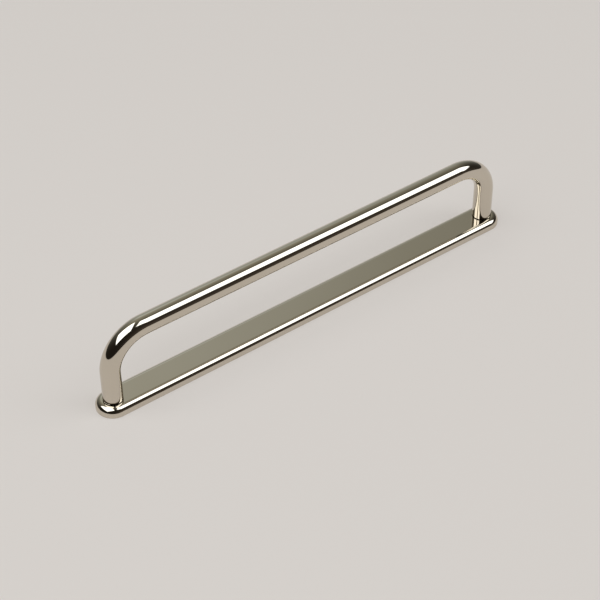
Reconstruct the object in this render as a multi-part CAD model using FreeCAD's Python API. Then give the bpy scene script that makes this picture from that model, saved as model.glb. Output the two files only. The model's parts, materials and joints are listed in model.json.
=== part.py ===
import FreeCAD, Part
import math
import os

# A fixed bail pull for a drawer front: a round rod bent into a long, flat-topped bail that stands
# square on a slim backplate with rounded ends.
# The origin is the middle of the plate's back face. +X runs along the grip, +Y across the plate and
# +Z out of the drawer front. All sizes are in millimetres.

# Bail, measured to the centre line of its rod
ROD_DIAMETER = 7.0
FIXING_CENTRES = 160.0
BEND_RADIUS = 14.0
GRIP_HEIGHT = 26.0  # above the plate's face
FOOT_EDGE_BREAK = 0.35

# Backplate
PLATE_WIDTH = 12.3
PLATE_THICKNESS = 3.5
END_OVERHANG = 6.15  # past the axis of each leg
FACE_EDGE_RADIUS = 2.4
BACK_EDGE_BREAK = 0.2
HOLE_EDGE_BREAK = 0.3

# Fixing: a metric machine screw passes through the plate into the tapped foot of each leg
SCREW_DIAMETER = 4.0
THREAD_PITCH = 0.7
THREAD_DEPTH = 10.0
MOUTH_CHAMFER = 0.4
DRILL_POINT_ANGLE = 118.0
SCREW_CLEARANCE = 0.25  # on the radius, in the plate's holes

ALONG_GRIP = FreeCAD.Vector(1, 0, 0)
ACROSS_PLATE = FreeCAD.Vector(0, 1, 0)
OUTWARDS = FreeCAD.Vector(0, 0, 1)

QUARTER_TURN = 90
HALF_TURN = 180
FULL_TURN = 360


def in_section(x, z):
    """A point in the plane that holds the bail's centre line and the middle of the plate."""
    return FreeCAD.Vector(x, 0, z)


def leg_axes():
    """The x of each leg's axis, which is also that of its screw."""
    return (-FIXING_CENTRES / 2, FIXING_CENTRES / 2)


def one_solid(shapes):
    """The shapes fused, with the faces that continue each other merged."""
    return shapes[0].multiFuse(shapes[1:]).removeSplitter().Solids[0]


def bent_rod():
    """The rod, bent in two quarter turns, from the face of one foot to the other."""
    leg_length = GRIP_HEIGHT - BEND_RADIUS
    grip_length = FIXING_CENTRES - 2 * BEND_RADIUS
    left, right = leg_axes()
    bend_level = PLATE_THICKNESS + leg_length
    grip_level = PLATE_THICKNESS + GRIP_HEIGHT

    rim = Part.makeCircle(ROD_DIAMETER / 2, in_section(left, PLATE_THICKNESS), OUTWARDS)
    foot = Part.Face(Part.Wire(rim))
    left_leg = foot.extrude(OUTWARDS * leg_length)

    leg_top = foot.translated(OUTWARDS * leg_length)
    left_centre = in_section(left + BEND_RADIUS, bend_level)
    left_bend = leg_top.revolve(left_centre, ACROSS_PLATE, QUARTER_TURN)

    grip_end = leg_top.rotated(left_centre, ACROSS_PLATE, QUARTER_TURN)
    grip = grip_end.extrude(ALONG_GRIP * grip_length)

    bend_start = grip_end.translated(ALONG_GRIP * grip_length)
    right_centre = in_section(right - BEND_RADIUS, bend_level)
    right_bend = bend_start.revolve(right_centre, ACROSS_PLATE, QUARTER_TURN)

    right_leg_top = bend_start.rotated(right_centre, ACROSS_PLATE, QUARTER_TURN)
    right_leg = right_leg_top.extrude(-OUTWARDS * leg_length)
    return one_solid([left_leg, left_bend, grip, right_bend, right_leg])


def foot_rims(rod):
    """The outer edge of each foot, where the rod meets the plate."""
    return [
        edge
        for edge in rod.Edges
        if abs(edge.BoundBox.ZMax - PLATE_THICKNESS) < Part.Precision.confusion()
    ]


def tapped_hole(axis_x):
    """What the drill and the countersink take out of a foot, at the size drilled for the thread."""
    core_radius = (SCREW_DIAMETER - THREAD_PITCH) / 2
    point_length = core_radius / math.tan(math.radians(DRILL_POINT_ANGLE / 2))
    profile = [
        (0, 0),
        (core_radius + MOUTH_CHAMFER, 0),
        (core_radius, MOUTH_CHAMFER),
        (core_radius, THREAD_DEPTH),
        (0, THREAD_DEPTH + point_length),
        (0, 0),
    ]
    outline = Part.makePolygon([in_section(axis_x + r, PLATE_THICKNESS + depth) for r, depth in profile])
    return Part.Face(outline).revolve(in_section(axis_x, PLATE_THICKNESS), OUTWARDS, FULL_TURN)


def bail():
    """The bent rod with the sharp edge of each foot broken and a tapped hole up each leg."""
    rod = bent_rod()
    rod = rod.makeChamfer(FOOT_EDGE_BREAK, foot_rims(rod))
    return rod.cut([tapped_hole(x) for x in leg_axes()]).Solids[0]


def plate_section():
    """Half of the plate's section, from its middle out to its edge, in the plane of the bail."""
    half_width = PLATE_WIDTH / 2
    round_inset = FACE_EDGE_RADIUS * (1 - math.cos(math.radians(45)))  # at the middle of the round
    back_middle, face_middle = in_section(0, 0), in_section(0, PLATE_THICKNESS)
    back_edge = in_section(half_width - BACK_EDGE_BREAK, 0)
    side_back = in_section(half_width, BACK_EDGE_BREAK)
    side_front = in_section(half_width, PLATE_THICKNESS - FACE_EDGE_RADIUS)
    round_middle = in_section(half_width - round_inset, PLATE_THICKNESS - round_inset)
    face_edge = in_section(half_width - FACE_EDGE_RADIUS, PLATE_THICKNESS)
    outline = [
        Part.makeLine(back_middle, back_edge),
        Part.makeLine(back_edge, side_back),
        Part.makeLine(side_back, side_front),
        Part.Arc(side_front, round_middle, face_edge).toShape(),
        Part.makeLine(face_edge, face_middle),
        Part.makeLine(face_middle, back_middle),
    ]
    return Part.Face(Part.Wire(outline))


def clearance_hole(axis_x):
    """What the screw's hole takes out of the plate, with its sharp edge at the back broken."""
    radius = SCREW_DIAMETER / 2 + SCREW_CLEARANCE
    mouth = in_section(axis_x, 0)
    hole = Part.makeCylinder(radius, PLATE_THICKNESS, mouth, OUTWARDS)
    broken_edge = Part.makeCone(radius + HOLE_EDGE_BREAK, radius, HOLE_EDGE_BREAK, mouth, OUTWARDS)
    return hole.fuse(broken_edge)


def backplate():
    """The plate: one section, flat behind and rounded in front, drawn out and turned about each end."""
    middle = in_section(0, 0)
    end_centre = FIXING_CENTRES / 2 + END_OVERHANG - PLATE_WIDTH / 2
    section = plate_section()
    section.rotate(middle, OUTWARDS, QUARTER_TURN)
    rear_half = section.translated(-ALONG_GRIP * end_centre).extrude(ALONG_GRIP * 2 * end_centre)
    front_half = rear_half.rotated(middle, OUTWARDS, HALF_TURN)
    right_end = section.revolve(middle, OUTWARDS, -HALF_TURN).translated(ALONG_GRIP * end_centre)
    left_end = right_end.rotated(middle, OUTWARDS, HALF_TURN)
    plate = one_solid([rear_half, front_half, right_end, left_end])
    return plate.cut([clearance_hole(x) for x in leg_axes()]).Solids[0]


os.makedirs("parts", exist_ok=True)
bail().exportStep("parts/bail.step")
backplate().exportStep("parts/backplate.step")
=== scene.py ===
"""The looks of a fixed bail pull in polished nickel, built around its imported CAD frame.

The pull stands with its back on the floor, as it lies before it is fitted to a drawer. The origin is
the middle of the backplate's back face, +X runs along the grip, +Y across the backplate and +Z out of
the drawer front. All sizes are in metres.
"""

import json
import logging
import math
from contextlib import contextmanager
from dataclasses import dataclass, field
from enum import Enum
from typing import Any, Callable, Iterator

import bmesh
import bpy
from mathutils import Matrix, Vector

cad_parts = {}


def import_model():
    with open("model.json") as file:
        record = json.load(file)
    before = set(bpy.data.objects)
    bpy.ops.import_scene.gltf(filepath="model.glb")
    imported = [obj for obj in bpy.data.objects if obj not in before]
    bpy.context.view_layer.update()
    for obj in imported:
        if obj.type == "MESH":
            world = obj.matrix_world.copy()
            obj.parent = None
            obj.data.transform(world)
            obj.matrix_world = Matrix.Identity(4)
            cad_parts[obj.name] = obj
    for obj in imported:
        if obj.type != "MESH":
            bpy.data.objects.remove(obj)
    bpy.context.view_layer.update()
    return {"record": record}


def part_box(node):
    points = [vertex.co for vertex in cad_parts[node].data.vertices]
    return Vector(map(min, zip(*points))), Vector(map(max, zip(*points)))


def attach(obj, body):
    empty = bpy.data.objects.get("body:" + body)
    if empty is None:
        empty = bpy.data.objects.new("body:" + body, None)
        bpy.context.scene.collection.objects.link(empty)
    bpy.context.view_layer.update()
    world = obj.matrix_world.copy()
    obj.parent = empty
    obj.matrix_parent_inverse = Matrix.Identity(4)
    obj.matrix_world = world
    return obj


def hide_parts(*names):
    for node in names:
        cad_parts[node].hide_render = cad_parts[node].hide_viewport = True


LOG = logging.getLogger("bail_pull")

MM = 0.001
ROOT_BODY = "root"

ALONG_GRIP = Vector((1, 0, 0))
ACROSS_PLATE = Vector((0, 1, 0))
OUTWARDS = Vector((0, 0, 1))

QUARTER_TURN = math.radians(90)
HALF_TURN = math.radians(180)
CRISP_ANGLE = math.radians(30)  # an edge that turns more than this stays crisp
TOLERANCE = 0.001 * MM

# the watts per square metre that make an area lamp's front as bright as a white wall
WATTS_FOR_WHITE = 4.0


class Element(Enum):
    """What is picked in edit mode: its select mode, and the name of its kind in the mesh."""

    CORNER = ("VERT", "verts")
    EDGE = ("EDGE", "edges")
    FACE = ("FACE", "faces")


class End(Enum):
    """An end of the pull, as a sign along the grip."""

    LEFT = -1
    RIGHT = 1


def linear(hex_colour: str) -> tuple[float, float, float, float]:
    """Turns an sRGB colour into the linear one that a shader takes.

    Args:
        hex_colour: The colour as "#RRGGBB".

    Returns:
        Red, green, blue and a full alpha.
    """
    shares = [int(hex_colour[i : i + 2], 16) / 255 for i in (1, 3, 5)]
    red, green, blue = (s / 12.92 if s <= 0.04045 else ((s + 0.055) / 1.055) ** 2.4 for s in shares)
    return red, green, blue, 1.0


def direction(azimuth: float, elevation: float) -> Vector:
    """Gives the unit vector of a direction as seen from the pull.

    Args:
        azimuth: Degrees round from +Y towards +X.
        elevation: Degrees above the floor.

    Returns:
        The unit vector.
    """
    turn, rise = math.radians(azimuth), math.radians(elevation)
    return Vector((math.sin(turn) * math.cos(rise), math.cos(turn) * math.cos(rise), math.sin(rise)))


def add_node(
    tree: bpy.types.NodeTree,
    kind: str,
    settings: dict[str, Any] | None = None,
    values: dict[str | int, Any] | None = None,
    links: dict[str | int, bpy.types.NodeSocket] | None = None,
) -> bpy.types.Node:
    """Adds one node with its settings and links.

    Args:
        tree: The node tree that it goes into.
        kind: The node's type, without the leading "ShaderNode".
        settings: The node's own options, by name.
        values: What its unlinked inputs hold, by name or number.
        links: The sockets that feed its inputs, by name or number.

    Returns:
        The new node.
    """
    node = tree.nodes.new("ShaderNode" + kind)
    for name, value in (settings or {}).items():
        setattr(node, name, value)
    for name, value in (values or {}).items():
        node.inputs[name].default_value = value
    for name, socket in (links or {}).items():
        tree.links.new(socket, node.inputs[name])
    return node


def deselect_everything() -> None:
    """Leaves no object selected."""
    bpy.ops.object.select_all(action="DESELECT")


def select_only(piece: bpy.types.Object) -> None:
    """Selects one object and makes it the active one.

    Args:
        piece: The object.
    """
    deselect_everything()
    piece.select_set(True)
    bpy.context.view_layer.objects.active = piece


@contextmanager
def edit_mode(piece: bpy.types.Object) -> Iterator[None]:
    """Opens a piece in edit mode with nothing picked, and closes it at the end.

    Args:
        piece: The mesh to work on.

    Yields:
        Nothing.
    """
    select_only(piece)
    bpy.ops.object.mode_set(mode="EDIT")
    bpy.ops.mesh.select_all(action="DESELECT")
    yield
    bpy.ops.object.mode_set(mode="OBJECT")


def pick(element: Element, wanted: Callable[[Any], bool]) -> None:
    """Selects, in edit mode, the corners, edges or faces that pass a test, and nothing else.

    Args:
        element: Which of the three is picked.
        wanted: The test, on one corner, edge or face.
    """
    select_mode, kind = element.value
    bpy.ops.mesh.select_mode(type=select_mode)
    bpy.ops.mesh.select_all(action="DESELECT")
    mesh = bmesh.from_edit_mesh(bpy.context.edit_object.data)
    for item in getattr(mesh, kind):
        if wanted(item):
            item.select_set(True)
    mesh.select_flush_mode()
    bmesh.update_edit_mesh(bpy.context.edit_object.data)


def at_level(level: float) -> Callable[[Any], bool]:
    """Makes a test for edges or faces whose corners all lie at one height.

    Args:
        level: The height above the floor.

    Returns:
        The test.
    """
    return lambda item: all(abs(corner.co.z - level) < TOLERANCE for corner in item.verts)


def push(offset: Vector) -> None:
    """Extrudes what is picked in edit mode by an offset."""
    bpy.ops.mesh.extrude_region_move(TRANSFORM_OT_translate={"value": offset})


def turn_about(centre: Vector, axis: Vector, angle: float, steps: int) -> None:
    """Extrudes what is picked in edit mode round an axis.

    Args:
        centre: A point on the axis.
        axis: The axis' direction.
        angle: How far it turns by the right-hand rule, in radians.
        steps: How many steps it takes.
    """
    # the operator itself turns by the left hand
    bpy.ops.mesh.spin(steps=steps, angle=-angle, center=centre, axis=axis, use_auto_merge=False)


def close_up() -> None:
    """Joins corners that meet and turns all faces outwards, in edit mode."""
    bpy.ops.mesh.select_all(action="SELECT")
    bpy.ops.mesh.remove_doubles(threshold=TOLERANCE)
    bpy.ops.mesh.normals_make_consistent(inside=False)


def put_in_mesh(piece: bpy.types.Object) -> None:
    """Moves a piece's place, turn and scale into its mesh, so that its object sits at the origin."""
    select_only(piece)
    bpy.ops.object.transform_apply(location=True, rotation=True, scale=True)


def add_modifier(piece: bpy.types.Object, kind: str, **settings: Any) -> None:
    """Adds a modifier to a piece and applies it.

    Args:
        piece: The mesh to work on.
        kind: The modifier's type.
        **settings: The modifier's own options.
    """
    select_only(piece)
    modifier = piece.modifiers.new(kind.lower(), kind)
    for name, value in settings.items():
        setattr(modifier, name, value)
    bpy.ops.object.modifier_apply(modifier=modifier.name)


def cut_with(piece: bpy.types.Object, tool: bpy.types.Object) -> None:
    """Takes a closed tool out of a piece and removes the tool."""
    add_modifier(piece, "BOOLEAN", operation="DIFFERENCE", solver="EXACT", object=tool)
    bpy.data.objects.remove(tool)


def smooth_like_metal(piece: bpy.types.Object) -> None:
    """Shades round faces smooth, flat faces truly flat and broken edges crisp.

    Args:
        piece: The finished mesh.
    """
    select_only(piece)
    bpy.ops.object.shade_smooth_by_angle(angle=CRISP_ANGLE)
    add_modifier(piece, "WEIGHTED_NORMAL", mode="FACE_AREA", keep_sharp=True)


def mount_named(record: dict[str, Any], name: str) -> dict[str, Any]:
    """Finds one of the record's mounts by its name."""
    return next(mount for mount in record["mounts"] if mount["name"] == name)


@dataclass(frozen=True)
class PolishedNickel:
    """Bright nickel plate over brass, buffed to a mirror.

    To the eye it is a warm silver that shows its surroundings sharply. What tells it from chrome is the
    yellow cast, and what tells it from a perfect mirror is a breath of haze where fingers and the last
    buffing wheel have been. The seam under each foot is painted dark, as painted shade in the crease
    between foot and backplate, and is rougher there.

    Attributes:
        seam_level: Height of the seam between the feet and the backplate.
        name: The material's name.
        bright_tone: The plating where the buffing is freshest.
        mellow_tone: The plating where it has mellowed a little.
        tone_patch: The width of a patch of either tone.
        clear_roughness: Roughness where the mirror is clearest.
        hazed_roughness: Roughness under the haze.
        haze_patch: The width of a patch of haze.
        haze_onset: Where the haze sets in and where it is full, on the pattern's scale from 0 to 1.
        hairline_pitch: Spacing of the buffing hairlines. Real ones are about 0.02 mm apart, too fine to
            show, so they are drawn as coarse as they need to be.
        hairline_length: How long a hairline runs.
        hairline_depth: How deep it is.
        wave_length: Distance between the soft swells that polishing leaves in a rod.
        wave_depth: Height of those swells.
        seam_shade_tone: The colour of the painted shade in the seam.
        seam_height: How far up the foot the seam's painted shade and roughness reach.
        seam_thinning: Share of that height over which it thins out, below and above its edge.
        seam_roughness: Roughness in the seam.
    """

    seam_level: float
    name: str = "mirror_polished_nickel_plate"
    bright_tone: str = "#D4CCBF"
    mellow_tone: str = "#CEC5B6"
    tone_patch: float = 28 * MM
    clear_roughness: float = 0.012
    hazed_roughness: float = 0.045
    haze_patch: float = 7 * MM
    haze_onset: tuple[float, float] = (0.35, 0.75)
    hairline_pitch: float = 0.25 * MM
    hairline_length: float = 12 * MM
    hairline_depth: float = 0.00002 * MM
    wave_length: float = 9 * MM
    wave_depth: float = 0.0004 * MM
    # painted shade in the crease under each foot
    seam_shade_tone: str = "#3B3730"
    seam_height: float = 0.35 * MM
    seam_thinning: float = 0.2
    seam_roughness: float = 0.4

    def material(self) -> bpy.types.Material:
        """Builds the finish as a material.

        Returns:
            The material, on the piece's Object coordinates.
        """
        made = bpy.data.materials.new(self.name)
        made.use_nodes = True
        tree = made.node_tree
        tree.nodes.clear()
        place = add_node(tree, "TexCoord").outputs["Object"]
        seam = self._seam(tree, place)
        surface = add_node(
            tree,
            "BsdfPrincipled",
            values={"Metallic": 1.0},
            links={
                "Base Color": self._tone(tree, place, seam),
                "Roughness": self._haze(tree, place, seam),
                "Normal": self._relief(tree, place),
            },
        )
        add_node(tree, "OutputMaterial", links={"Surface": surface.outputs["BSDF"]})
        return made

    def _seam(self, tree: bpy.types.NodeTree, place: bpy.types.NodeSocket) -> bpy.types.NodeSocket:
        """Finds the seam: the broken edge of each foot, just above the backplate's face.

        Args:
            tree: The finish's node tree.
            place: Where a point is on the piece.

        Returns:
            1 in the seam and 0 elsewhere.
        """
        height = add_node(tree, "SeparateXYZ", links={0: place}).outputs["Z"]
        above = add_node(
            tree,
            "Math",
            settings={"operation": "GREATER_THAN"},
            values={1: self.seam_level + TOLERANCE},
            links={0: height},
        )
        fading = add_node(
            tree,
            "MapRange",
            values={
                "From Min": self.seam_level + (1 - self.seam_thinning) * self.seam_height,
                "From Max": self.seam_level + (1 + self.seam_thinning) * self.seam_height,
                "To Min": 1.0,
                "To Max": 0.0,
            },
            links={"Value": height},
        )
        seam = add_node(
            tree,
            "Math",
            settings={"operation": "MULTIPLY"},
            links={0: above.outputs[0], 1: fading.outputs["Result"]},
        )
        return seam.outputs[0]

    def _tone(
        self, tree: bpy.types.NodeTree, place: bpy.types.NodeSocket, seam: bpy.types.NodeSocket
    ) -> bpy.types.NodeSocket:
        """Colours the nickel, which drifts between its two tones and has painted shade in the seam.

        Args:
            tree: The finish's node tree.
            place: Where a point is on the piece.
            seam: 1 in the seam and 0 elsewhere.

        Returns:
            The colour.
        """
        patches = add_node(
            tree, "TexNoise", values={"Scale": 1 / self.tone_patch, "Detail": 2.0}, links={"Vector": place}
        )
        # numbers 6 and 7 are a Mix node's two colours
        blend = add_node(
            tree,
            "Mix",
            settings={"data_type": "RGBA"},
            values={6: linear(self.bright_tone), 7: linear(self.mellow_tone)},
            links={0: patches.outputs["Fac"]},
        )
        # painted shade: the nickel is darkened in the seam under each foot, where the crease between foot
        # and backplate is shaded
        seam_painted_shade = add_node(
            tree,
            "Mix",
            settings={"data_type": "RGBA"},
            values={7: linear(self.seam_shade_tone)},
            links={0: seam, 6: blend.outputs[2]},
        )
        return seam_painted_shade.outputs[2]

    def _haze(
        self, tree: bpy.types.NodeTree, place: bpy.types.NodeSocket, seam: bpy.types.NodeSocket
    ) -> bpy.types.NodeSocket:
        """Roughens the mirror a little under the haze, and much more in the seam.

        Args:
            tree: The finish's node tree.
            place: Where a point is on the piece.
            seam: 1 in the seam and 0 elsewhere.

        Returns:
            The roughness.
        """
        onset, full = self.haze_onset
        patches = add_node(
            tree, "TexNoise", values={"Scale": 1 / self.haze_patch, "Detail": 5.0}, links={"Vector": place}
        )
        spread = add_node(
            tree,
            "MapRange",
            values={
                "From Min": onset,
                "From Max": full,
                "To Min": self.clear_roughness,
                "To Max": self.hazed_roughness,
            },
            links={"Value": patches.outputs["Fac"]},
        )
        # numbers 2 and 3 are a Mix node's two plain values
        dulled = add_node(
            tree, "Mix", values={3: self.seam_roughness}, links={0: seam, 2: spread.outputs["Result"]}
        )
        return dulled.outputs[0]

    def _relief(self, tree: bpy.types.NodeTree, place: bpy.types.NodeSocket) -> bpy.types.NodeSocket:
        """Raises polishing swells and, over them, buffing hairlines along the grip.

        Args:
            tree: The finish's node tree.
            place: Where a point is on the piece.

        Returns:
            The normal.
        """
        stretched = add_node(
            tree,
            "Mapping",
            values={"Scale": (1 / self.hairline_length, 1 / self.hairline_pitch, 1 / self.hairline_pitch)},
            links={"Vector": place},
        )
        hairlines = add_node(
            tree, "TexNoise", values={"Scale": 1.0, "Detail": 1.0}, links={"Vector": stretched.outputs[0]}
        )
        swells = add_node(
            tree, "TexNoise", values={"Scale": 1 / self.wave_length, "Detail": 0.0}, links={"Vector": place}
        )
        swelling = add_node(
            tree, "Bump", values={"Distance": self.wave_depth}, links={"Height": swells.outputs["Fac"]}
        )
        scored = add_node(
            tree,
            "Bump",
            values={"Distance": self.hairline_depth},
            links={"Height": hairlines.outputs["Fac"], "Normal": swelling.outputs["Normal"]},
        )
        return scored.outputs["Normal"]


@dataclass
class TappedHole:
    """The blind hole up a leg, drilled, countersunk and tapped for a metric machine screw.

    Attributes:
        core_radius: Radius of the drilled hole.
        screw_diameter: Outside diameter of the screw.
        pitch: Distance from one turn of the thread to the next.
        depth: Depth of the full bore.
        mouth_chamfer: Size of the countersink.
        point_angle: Angle of the drill's point.
        flank_angle: How far each flank of the thread leans from square.
        groove_overlap: How far the groove's tool reaches into the open bore.
        overrun: How far the tool reaches out of the mouth.
        round_steps: Flats round the bore.
    """

    core_radius: float
    screw_diameter: float = 4.0 * MM
    pitch: float = 0.7 * MM
    depth: float = 10.0 * MM
    mouth_chamfer: float = 0.4 * MM
    point_angle: float = math.radians(118)
    flank_angle: float = math.radians(30)
    groove_overlap: float = 0.15 * MM
    overrun: float = 0.5 * MM
    round_steps: int = 48

    def drill(self, mouth: Vector) -> bpy.types.Object:
        """Models what the drill and the countersink take out.

        Args:
            mouth: The middle of the hole's mouth. The hole runs up from there.

        Returns:
            The closed tool.
        """
        straight = self.depth - self.mouth_chamfer
        middle = mouth + OUTWARDS * (self.mouth_chamfer + straight / 2)
        deselect_everything()
        bpy.ops.mesh.primitive_cylinder_add(
            vertices=self.round_steps, radius=self.core_radius, depth=straight, location=middle
        )
        tool = bpy.context.object
        put_in_mesh(tool)
        widening = (self.core_radius + self.mouth_chamfer) / self.core_radius
        with edit_mode(tool):
            pick(Element.FACE, at_level(mouth.z + self.depth))
            bpy.ops.mesh.poke(offset=self.core_radius / math.tan(self.point_angle / 2))
            pick(Element.FACE, at_level(mouth.z + self.mouth_chamfer))
            push(-OUTWARDS * self.mouth_chamfer)
            bpy.ops.transform.resize(value=(widening, widening, 1), center_override=mouth)
            push(-OUTWARDS * self.overrun)
        return tool

    def tap(self, mouth: Vector) -> bpy.types.Object:
        """Models the helical groove that the tap cuts, from a section drawn round the hole's axis.

        Args:
            mouth: The middle of the hole's mouth.

        Returns:
            The closed tool.
        """
        root_in_metal = self.screw_diameter / 2
        inside_bore = self.core_radius - self.groove_overlap
        groove_depth = root_in_metal - inside_bore
        # a metric thread's groove is flat at the bottom over an eighth of the pitch
        root_flat = self.pitch / 8
        mouth_width = root_flat + 2 * groove_depth * math.tan(self.flank_angle)
        turns = math.floor(self.depth / self.pitch)

        deselect_everything()
        bpy.ops.mesh.primitive_plane_add(size=1, rotation=(QUARTER_TURN, 0, 0))
        tool = bpy.context.object
        tool.dimensions = (groove_depth, mouth_width, 0)
        tool.location.x = inside_bore + groove_depth / 2
        put_in_mesh(tool)
        with edit_mode(tool):
            pick(Element.CORNER, lambda corner: corner.co.x > self.core_radius)
            bpy.ops.transform.resize(
                value=(1, 1, root_flat / mouth_width), center_override=(root_in_metal, 0, 0)
            )
        add_modifier(
            tool,
            "SCREW",
            angle=2 * math.pi,
            screw_offset=self.pitch,
            iterations=turns,
            steps=self.round_steps,
            render_steps=self.round_steps,
        )
        with edit_mode(tool):
            bpy.ops.mesh.select_all(action="SELECT")
            bpy.ops.mesh.fill_holes(sides=4)
            close_up()
        tool.location = mouth - OUTWARDS * self.pitch / 2
        # half a step round, so that the groove's corners keep clear of the bore's
        tool.rotation_euler.z = math.pi / self.round_steps
        put_in_mesh(tool)
        return tool


@dataclass
class Bail:
    """The round rod, bent into two legs and a straight grip, with a tapped foot at each end.

    Attributes:
        foot_level: Height of the feet, which stand on the backplate.
        top_level: Height of the grip's outermost line.
        leg_reach: Distance of each leg's axis from the middle.
        hole: The tapped hole in each foot.
        grip_height: Height of the grip's centre line above the feet.
        bend_radius: Radius of each bend's centre line.
        foot_edge_break: Size of the broken edge round each foot.
        rod_steps: Flats round the rod.
        bend_steps: Steps round each bend.
    """

    foot_level: float
    top_level: float
    leg_reach: float
    hole: TappedHole
    grip_height: float = 26.0 * MM
    bend_radius: float = 14.0 * MM
    foot_edge_break: float = 0.35 * MM
    rod_steps: int = 128
    bend_steps: int = 60

    @classmethod
    def from_frame(cls, record: dict[str, Any]) -> "Bail":
        """Takes the bail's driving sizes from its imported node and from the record's mounts.

        Args:
            record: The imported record.

        Returns:
            The bail, ready to build.
        """
        low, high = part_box("bail")
        screws = mount_named(record, "fixing_screws")["dims"]
        return cls(
            foot_level=low.z,
            top_level=high.z,
            leg_reach=screws["spacing_x_mm"] * MM / 2,
            hole=TappedHole(core_radius=screws["hole_r_mm"] * MM),
        )

    def build(self) -> bpy.types.Object:
        """Models the bail as one closed mesh: its left half, and the same half turned round.

        Returns:
            The mesh, at the origin.
        """
        foot = OUTWARDS * self.foot_level - ALONG_GRIP * self.leg_reach
        piece = self._bend_half_rod(foot)
        with edit_mode(piece):
            pick(Element.EDGE, at_level(self.foot_level))
            bpy.ops.mesh.bevel(offset=self.foot_edge_break, segments=1, affect="EDGES")
        cut_with(piece, self.hole.drill(foot))
        cut_with(piece, self.hole.tap(foot))
        with edit_mode(piece):
            pick(Element.FACE, lambda face: all(abs(corner.co.x) < TOLERANCE for corner in face.verts))
            bpy.ops.mesh.delete(type="FACE")
            bpy.ops.mesh.select_all(action="SELECT")
            bpy.ops.mesh.duplicate()
            bpy.ops.transform.rotate(value=HALF_TURN, orient_axis="Z", center_override=(0, 0, 0))
            close_up()
        piece.name = "polished_bail"
        return piece

    def _bend_half_rod(self, foot: Vector) -> bpy.types.Object:
        """Draws the rod's round section up the left leg, round the bend and to the middle of the grip.

        Args:
            foot: The middle of the left foot.

        Returns:
            The closed half of the rod.
        """
        grip_level = self.foot_level + self.grip_height
        bend_level = grip_level - self.bend_radius
        bend_reach = self.leg_reach - self.bend_radius
        leg_length = self.grip_height - self.bend_radius
        deselect_everything()
        bpy.ops.mesh.primitive_circle_add(
            vertices=self.rod_steps,
            radius=self.top_level - grip_level,
            fill_type="NGON",
            location=foot,
        )
        rod = bpy.context.object
        put_in_mesh(rod)
        with edit_mode(rod):
            bpy.ops.mesh.select_all(action="SELECT")
            push(OUTWARDS * leg_length)
            turn_about(Vector((-bend_reach, 0, bend_level)), ACROSS_PLATE, QUARTER_TURN, self.bend_steps)
            push(ALONG_GRIP * bend_reach)
            close_up()
        return rod

    def dress(self, piece: bpy.types.Object, finish: bpy.types.Material) -> None:
        """Shades the bail, gives it its finish and seats it on the frame.

        Args:
            piece: The bail's mesh.
            finish: Its material.
        """
        smooth_like_metal(piece)
        piece.data.materials.append(finish)
        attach(piece, ROOT_BODY)
        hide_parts("bail")


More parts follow.
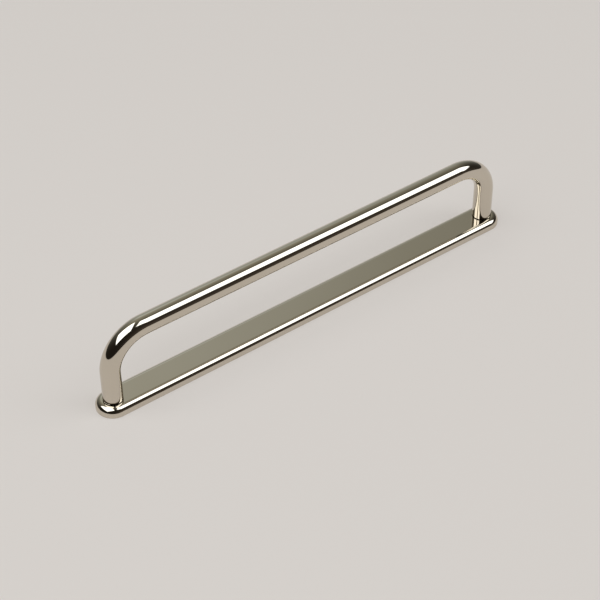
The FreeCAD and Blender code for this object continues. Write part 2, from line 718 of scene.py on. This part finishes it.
@dataclass
class Backplate:
    """The slim plate under both feet, with rounded ends, a flat back and a rounded front edge.

    Attributes:
        thickness: Thickness.
        hole_reach: Distance of each screw hole from the middle.
        hole_radius: Radius of each screw hole.
        width: Overall width.
        end_overhang: How far each end reaches past the axis of its leg.
        face_edge_radius: Radius of the front edge's round.
        back_edge_break: Size of the broken edge at the back.
        hole_edge_break: Size of the broken edge at the back of each hole.
        round_steps: Steps across the front edge's round.
        end_steps: Steps round each end.
        hole_steps: Flats round each hole.
    """

    thickness: float
    hole_reach: float
    hole_radius: float
    width: float = 12.3 * MM
    end_overhang: float = 6.15 * MM
    face_edge_radius: float = 2.4 * MM
    back_edge_break: float = 0.2 * MM
    hole_edge_break: float = 0.3 * MM
    round_steps: int = 32
    end_steps: int = 128
    hole_steps: int = 64

    @classmethod
    def from_frame(cls, record: dict[str, Any]) -> "Backplate":
        """Takes the plate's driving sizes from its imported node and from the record's mounts.

        Args:
            record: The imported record.

        Returns:
            The plate, ready to build.
        """
        low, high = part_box("backplate")
        holes = mount_named(record, "plate_holes")["dims"]
        return cls(
            thickness=high.z - low.z,
            hole_reach=holes["spacing_x_mm"] * MM / 2,
            hole_radius=holes["hole_r_mm"] * MM,
        )

    def build(self) -> bpy.types.Object:
        """Models the plate as one closed mesh.

        Returns:
            The mesh, at the origin.
        """
        piece = self._sharp_blank()
        with edit_mode(piece):
            pick(Element.EDGE, at_level(self.thickness))
            bpy.ops.mesh.bevel(offset=self.face_edge_radius, segments=self.round_steps, affect="EDGES")
            pick(Element.EDGE, at_level(0))
            bpy.ops.mesh.bevel(offset=self.back_edge_break, segments=1, affect="EDGES")
        for end in End:
            cut_with(piece, self._screw_hole(end))
        with edit_mode(piece):
            close_up()
        piece.name = "polished_backplate"
        return piece

    def _sharp_blank(self) -> bpy.types.Object:
        """Draws the plate's outline on from its rear edge, fills it in and raises it.

        Returns:
            The closed blank, with sharp edges and no holes.
        """
        end_centre = self.hole_reach + self.end_overhang - self.width / 2
        deselect_everything()
        bpy.ops.mesh.primitive_plane_add(size=1)
        blank = bpy.context.object
        blank.dimensions = (2 * end_centre, self.width, 0)
        put_in_mesh(blank)
        with edit_mode(blank):
            pick(Element.CORNER, lambda corner: corner.co.y < 0)
            bpy.ops.mesh.delete(type="VERT")
            pick(Element.CORNER, lambda corner: corner.co.x > 0)
            turn_about(ALONG_GRIP * end_centre, OUTWARDS, -HALF_TURN, self.end_steps)
            push(-ALONG_GRIP * 2 * end_centre)
            turn_about(-ALONG_GRIP * end_centre, OUTWARDS, -HALF_TURN, self.end_steps)
            close_up()
            bpy.ops.mesh.select_all(action="SELECT")
            bpy.ops.mesh.edge_face_add()
            push(OUTWARDS * self.thickness)
            close_up()
        return blank

    def _screw_hole(self, end: End) -> bpy.types.Object:
        """Models what a screw's clearance hole takes out, with its broken edge at the back.

        Args:
            end: The end of the plate that it is at.

        Returns:
            The closed tool.
        """
        # the tool reaches well past both faces, so that it cuts cleanly
        overrun = self.thickness / 4
        straight = self.thickness - self.hole_edge_break + overrun
        back = ALONG_GRIP * end.value * self.hole_reach
        widening = (self.hole_radius + self.hole_edge_break) / self.hole_radius
        deselect_everything()
        bpy.ops.mesh.primitive_cylinder_add(
            vertices=self.hole_steps,
            radius=self.hole_radius,
            depth=straight,
            location=back + OUTWARDS * (self.hole_edge_break + straight / 2),
        )
        tool = bpy.context.object
        put_in_mesh(tool)
        with edit_mode(tool):
            pick(Element.FACE, at_level(self.hole_edge_break))
            push(-OUTWARDS * self.hole_edge_break)
            bpy.ops.transform.resize(value=(widening, widening, 1), center_override=back)
            push(-OUTWARDS * overrun)
        return tool

    def dress(self, piece: bpy.types.Object, finish: bpy.types.Material) -> None:
        """Shades the plate, gives it its finish and seats it on the frame.

        Args:
            piece: The plate's mesh.
            finish: Its material.
        """
        smooth_like_metal(piece)
        piece.data.materials.append(finish)
        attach(piece, ROOT_BODY)
        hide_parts("backplate")


@dataclass(frozen=True)
class PalePaint:
    """Matt pale paint on a flat board, which gives the floor an even, warm off-white.

    Attributes:
        name: The material's name.
        colour: The paint.
        roughness: Its roughness.
        sheen: How strongly it shines, where 0.5 is usual for paint.
        lit_colour: The even tone that it takes on where it is seen or mirrored.
        lift: Share of that tone, which leaves the pull a faint shadow.
    """

    name: str = "matt_pale_paint"
    colour: str = "#EBE2DA"
    roughness: float = 0.7
    sheen: float = 0.2
    lit_colour: str = "#D0CBC7"
    lift: float = 0.6

    def material(self) -> bpy.types.Material:
        """Builds the paint as a material.

        Returns:
            The material.
        """
        made = bpy.data.materials.new(self.name)
        made.use_nodes = True
        tree = made.node_tree
        tree.nodes.clear()
        surface = add_node(
            tree,
            "BsdfPrincipled",
            values={
                "Base Color": linear(self.colour),
                "Roughness": self.roughness,
                "Specular IOR Level": self.sheen,
            },
        )
        lit = add_node(tree, "Emission", values={"Color": linear(self.lit_colour), "Strength": 1.0})
        ground = add_node(
            tree,
            "MixShader",
            links={0: self._seen(tree), 1: surface.outputs["BSDF"], 2: lit.outputs[0]},
        )
        add_node(tree, "OutputMaterial", links={"Surface": ground.outputs[0]})
        return made

    def _seen(self, tree: bpy.types.NodeTree) -> bpy.types.NodeSocket:
        """Finds where the floor is seen or mirrored, rather than lighting something.

        Args:
            tree: The paint's node tree.

        Returns:
            The lift there, and 0 elsewhere.
        """
        ray = add_node(tree, "LightPath").outputs
        seen = ray["Is Camera Ray"]
        for kind in ("Is Glossy Ray", "Is Transmission Ray"):
            seen = add_node(
                tree, "Math", settings={"operation": "MAXIMUM"}, links={0: seen, 1: ray[kind]}
            ).outputs[0]
        return add_node(
            tree, "Math", settings={"operation": "MULTIPLY"}, values={1: self.lift}, links={0: seen}
        ).outputs[0]


@dataclass
class Softbox:
    """A rectangular studio lamp with a white front, which faces the pull and fades at its edges.

    Attributes:
        name: The lamp's name.
        azimuth: Where it hangs, in degrees round from +Y towards +X.
        elevation: How high it hangs, in degrees.
        distance: How far off it hangs.
        width: Width of its front.
        height: Height of its front.
        roll: How far it is turned about the line to the pull, in degrees.
        radiance: Brightness of its front, where 1 is a white wall.
        fading: Share of its width and height, at each edge, over which the front fades out.
        tint: Its linear colour, a touch cooler than the room's.
    """

    name: str
    azimuth: float
    elevation: float
    distance: float
    width: float
    height: float
    roll: float = 0.0
    radiance: float = 2.05
    fading: float = 0.08
    tint: tuple[float, float, float] = (0.95, 1.0, 1.04)

    def hang(self, target: Vector) -> bpy.types.Object:
        """Makes the lamp and hangs it.

        Args:
            target: The point that it faces.

        Returns:
            The lamp.
        """
        towards = direction(self.azimuth, self.elevation)
        turned = towards.to_track_quat("Z", "Y").to_matrix().to_4x4()
        roll = Matrix.Rotation(math.radians(self.roll), 4, "Z")
        deselect_everything()
        bpy.ops.object.light_add(type="AREA", location=target + towards * self.distance)
        lamp = bpy.context.object
        lamp.name = self.name
        lamp.matrix_world = Matrix.Translation(target + towards * self.distance) @ turned @ roll
        lamp.data.shape = "RECTANGLE"
        lamp.data.size, lamp.data.size_y = self.width, self.height
        lamp.data.energy = self.radiance * WATTS_FOR_WHITE * self.width * self.height
        self._soften(lamp.data)
        return lamp

    def _soften(self, lamp: bpy.types.AreaLight) -> None:
        """Makes the lamp's front fade out at its edges.

        Args:
            lamp: The lamp's data.
        """
        lamp.use_nodes = True
        tree = lamp.node_tree
        tree.nodes.clear()
        # on the front, Parametric runs from 0 to 1 along each side
        across = add_node(tree, "NewGeometry").outputs["Parametric"]
        to_edge = 0.5
        from_middle = add_node(
            tree,
            "VectorMath",
            settings={"operation": "SUBTRACT"},
            values={1: (to_edge, to_edge, 0)},
            links={0: across},
        )
        outward = add_node(
            tree, "VectorMath", settings={"operation": "ABSOLUTE"}, links={0: from_middle.outputs[0]}
        )
        faded = add_node(
            tree,
            "MapRange",
            settings={"data_type": "FLOAT_VECTOR", "interpolation_type": "SMOOTHSTEP"},
            # numbers 7 and 8 are the least and the greatest input of its vector kind
            values={7: (to_edge,) * 3, 8: (to_edge - self.fading,) * 3},
            links={"Vector": outward.outputs[0]},
        )
        sides = add_node(tree, "SeparateXYZ", links={0: faded.outputs["Vector"]})
        strength = add_node(
            tree,
            "Math",
            settings={"operation": "MULTIPLY"},
            links={0: sides.outputs["X"], 1: sides.outputs["Y"]},
        )
        light = add_node(
            tree, "Emission", values={"Color": (*self.tint, 1)}, links={"Strength": strength.outputs[0]}
        )
        add_node(tree, "OutputLight", links={"Surface": light.outputs[0]})


@dataclass
class Glow:
    """A soft pale patch on the studio's walls.

    Attributes:
        azimuth: Where its middle is, in degrees round from +Y towards +X.
        elevation: How high its middle is, in degrees.
        sharpness: How fast it fades from its middle.
        colour: Its linear colour at the middle.
    """

    azimuth: float
    elevation: float
    sharpness: float
    colour: tuple[float, float, float]


@dataclass
class Studio:
    """The floor, the lamps and the room, which is what the metal mirrors.

    Attributes:
        floor_reach: Half the floor's width.
        target: The point that the lamps face.
        dark: The room's own linear colour, where no glow reaches.
        softboxes: The lamps.
        glows: Pale patches on the walls, lit by the lamps.
    """

    floor_reach: float = 7.0
    target: Vector = field(default_factory=lambda: Vector((0, 0, 20 * MM)))
    dark: tuple[float, float, float] = (0.018, 0.015, 0.012)
    softboxes: tuple[Softbox, ...] = (
        Softbox(
            "softbox_left",
            azimuth=275.2,
            elevation=59.6,
            distance=1.34,
            width=1.44,
            height=1.15,
            roll=-15.0,
        ),
        Softbox(
            "softbox_right",
            azimuth=131.2,
            elevation=53.2,
            distance=1.6,
            width=1.08,
            height=1.85,
            roll=21.5,
            fading=0.12,
        ),
    )
    glows: tuple[Glow, ...] = (
        Glow(azimuth=26, elevation=-13, sharpness=5.6, colour=(0.61, 0.66, 0.64)),
        Glow(azimuth=19, elevation=55, sharpness=5.5, colour=(0.29, 0.28, 0.22)),
        Glow(azimuth=21, elevation=36, sharpness=48.0, colour=(0.29, 0.33, 0.35)),
        Glow(azimuth=156, elevation=-9, sharpness=5.3, colour=(0.06, 0.05, 0.04)),
    )

    def lay_floor(self) -> bpy.types.Object:
        """Lays the plain floor that the pull stands on.

        Returns:
            The floor.
        """
        deselect_everything()
        bpy.ops.mesh.primitive_plane_add(size=2 * self.floor_reach)
        floor = bpy.context.object
        floor.name = "plain_floor"
        floor.data.materials.append(PalePaint().material())
        return floor

    def hang_lamps(self) -> list[bpy.types.Object]:
        """Hangs every softbox and returns the lamps."""
        return [softbox.hang(self.target) for softbox in self.softboxes]

    def paint_room(self) -> bpy.types.World:
        """Makes the room: dark behind the camera, with soft glows where lamplight falls on its walls.

        Returns:
            The world.
        """
        world = bpy.data.worlds.new("studio_room")
        world.use_nodes = True
        tree = world.node_tree
        tree.nodes.clear()
        ray = add_node(tree, "TexCoord").outputs["Generated"]
        total = add_node(tree, "CombineXYZ", values=dict(enumerate(self.dark))).outputs[0]
        for glow in self.glows:
            nearness = add_node(
                tree,
                "VectorMath",
                settings={"operation": "DOT_PRODUCT"},
                values={1: direction(glow.azimuth, glow.elevation)},
                links={0: ray},
            )
            falloff = add_node(
                tree,
                "Math",
                settings={"operation": "MULTIPLY_ADD"},
                values={1: glow.sharpness, 2: -glow.sharpness},
                links={0: nearness.outputs["Value"]},
            )
            strength = add_node(
                tree, "Math", settings={"operation": "EXPONENT"}, links={0: falloff.outputs[0]}
            )
            coloured = add_node(
                tree,
                "VectorMath",
                settings={"operation": "SCALE"},
                values={0: glow.colour},
                links={"Scale": strength.outputs[0]},
            )
            total = add_node(
                tree, "VectorMath", settings={"operation": "ADD"}, links={0: total, 1: coloured.outputs[0]}
            ).outputs[0]
        light = add_node(tree, "Background", links={"Color": total})
        add_node(tree, "OutputWorld", links={"Surface": light.outputs[0]})
        bpy.context.scene.world = world
        return world


@dataclass
class PhotographCamera:
    """The camera that sees the pull from the photograph's angle.

    Attributes:
        azimuth: Degrees round from -Y, against the clock.
        elevation: Degrees above the floor.
        distance: How far it is from the point that it looks at.
        target: The point on the floor that it looks at.
        roll: How far it is tipped, in degrees.
        lens: Focal length in millimetres.
        sensor_width: Width of the sensor in millimetres.
        nearest: How near it still sees.
        farthest: How far it still sees.
    """

    azimuth: float = -35.879
    elevation: float = 42.420
    distance: float = 637.82 * MM
    target: Vector = field(default_factory=lambda: Vector((0.55, 5.11, 0.0)) * MM)
    roll: float = -0.484
    lens: float = 108.12
    sensor_width: float = 36.0
    nearest: float = 10 * MM
    farthest: float = 50.0

    def place(self) -> bpy.types.Object:
        """Makes the camera and gives it to the scene.

        Returns:
            The camera.
        """
        back = direction(180 - self.azimuth, self.elevation)
        deselect_everything()
        bpy.ops.object.camera_add(location=self.target + back * self.distance)
        camera = bpy.context.object
        camera.name = "photograph_camera"
        aim = back.to_track_quat("Z", "Y").to_matrix().to_4x4()
        tip = Matrix.Rotation(math.radians(self.roll), 4, "Z")
        camera.matrix_world = Matrix.Translation(camera.location) @ aim @ tip
        camera.data.lens = self.lens
        camera.data.sensor_width = self.sensor_width
        camera.data.clip_start = self.nearest
        camera.data.clip_end = self.farthest
        bpy.context.scene.camera = camera
        return camera


def main() -> None:
    """Builds the pull's pieces around the frame, then the studio and the camera."""
    logging.basicConfig(level=logging.INFO, format="%(name)s: %(message)s")
    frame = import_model()
    nickel = PolishedNickel(seam_level=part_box("bail")[0].z).material()
    for sub_assembly in (Bail.from_frame(frame["record"]), Backplate.from_frame(frame["record"])):
        piece = sub_assembly.build()
        sub_assembly.dress(piece, nickel)
        LOG.info("%s: %d faces", piece.name, len(piece.data.polygons))
    studio = Studio()
    LOG.info("%s laid", studio.lay_floor().name)
    for lamp in studio.hang_lamps():
        LOG.info("%s hung", lamp.name)
    LOG.info("%s painted", studio.paint_room().name)
    LOG.info("%s placed", PhotographCamera().place().name)
    bpy.context.scene.view_settings.view_transform = "Standard"


if __name__ == "__main__":
    main()
